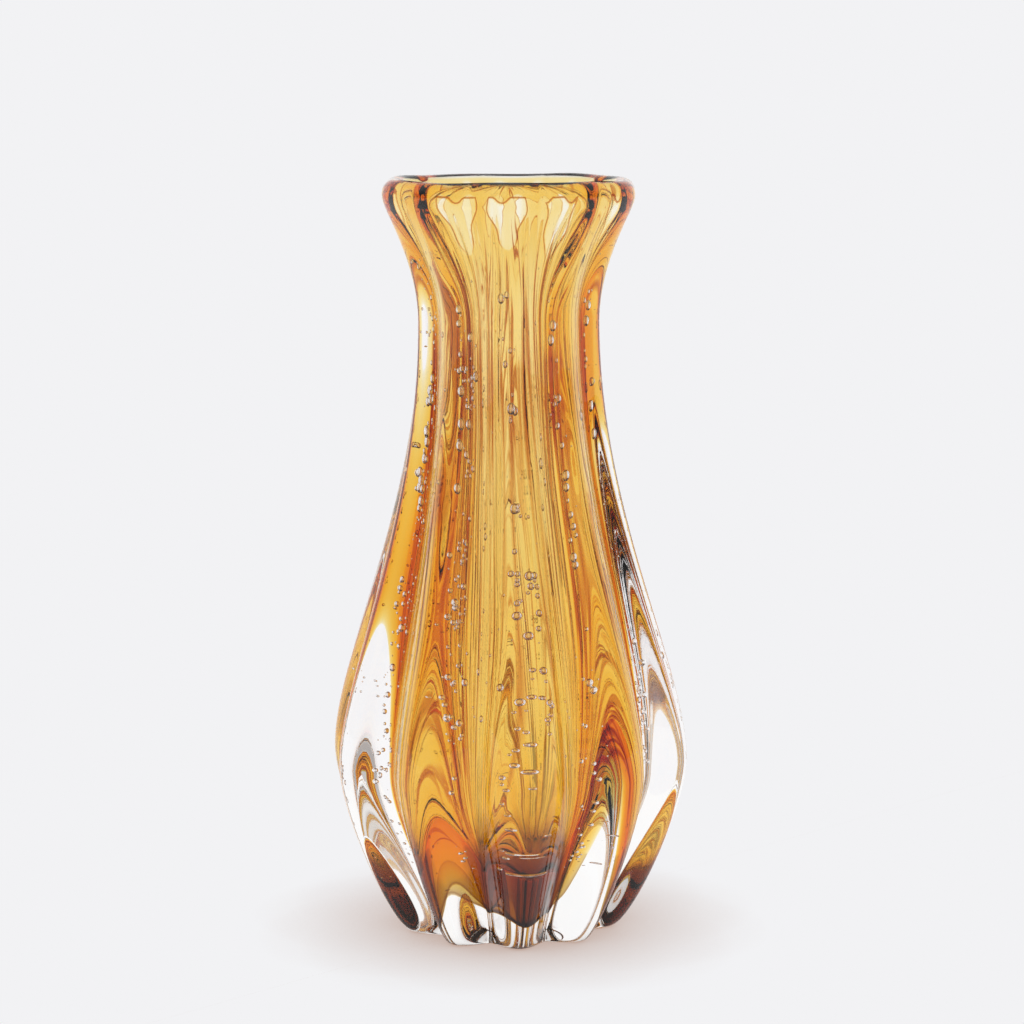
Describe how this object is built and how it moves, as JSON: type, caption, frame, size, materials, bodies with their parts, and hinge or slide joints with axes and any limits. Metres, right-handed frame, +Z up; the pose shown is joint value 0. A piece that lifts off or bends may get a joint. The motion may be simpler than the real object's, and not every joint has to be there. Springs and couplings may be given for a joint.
{
  "type": "ribbed glass vase",
  "caption": "Heavy ribbed vase of amber glass cased in thick clear glass, with a pear-shaped belly, narrow neck, flared rounded lip and flat star-shaped foot.",
  "frame": {"origin": "middle of the flat foot, on the surface that the vase stands on", "axes": "+Z up along the vase's axis to the mouth, -Y to the front, +X to the right seen from the front"},
  "size_m": [0.1178, 0.1198, 0.25],
  "materials": {
    "clear_glass": "fire-polished",
    "amber_glass": "fire-polished"
  },
  "bodies": {
    "root": {"clear_casing": "clear_glass", "amber_lining": "amber_glass"}
  },
  "joints": []
}
